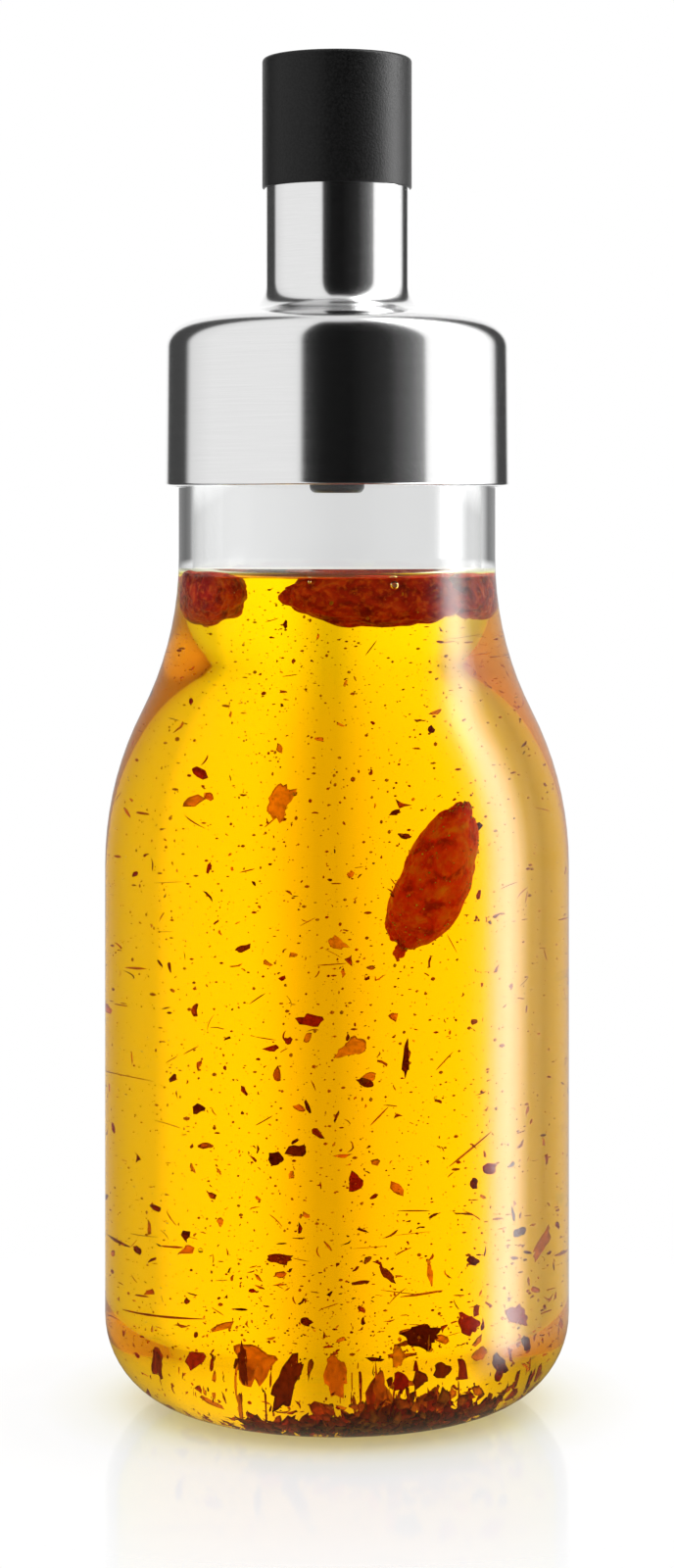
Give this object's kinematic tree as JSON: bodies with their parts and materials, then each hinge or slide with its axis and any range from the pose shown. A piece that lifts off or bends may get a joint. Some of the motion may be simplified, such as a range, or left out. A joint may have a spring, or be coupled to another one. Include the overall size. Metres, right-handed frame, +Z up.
{
  "type": "dressing shaker",
  "caption": "Clear glass bottle of herb oil with a round heel and drawn-in shoulder, closed by a brushed steel lid with a narrow pouring tube and a black rubber cap.",
  "frame": {"origin": "on the bottle's axis, at the level that its foot ring stands on", "axes": "+Z up along the axis, from the foot to the cap; +Y away from the front"},
  "size_m": [0.065, 0.065, 0.1879],
  "materials": {
    "glass": "gloss",
    "oil": "gloss",
    "steel": "satin",
    "stopper_plastic": "satin",
    "seal_silicone": "matte",
    "cap_rubber": "matte"
  },
  "bodies": {
    "root": {"glass_bottle": "glass", "oil": "oil", "lid_shell": "steel", "stopper": "stopper_plastic", "drip_tube": "stopper_plastic", "seal": "seal_silicone", "cap": "cap_rubber"}
  },
  "joints": []
}
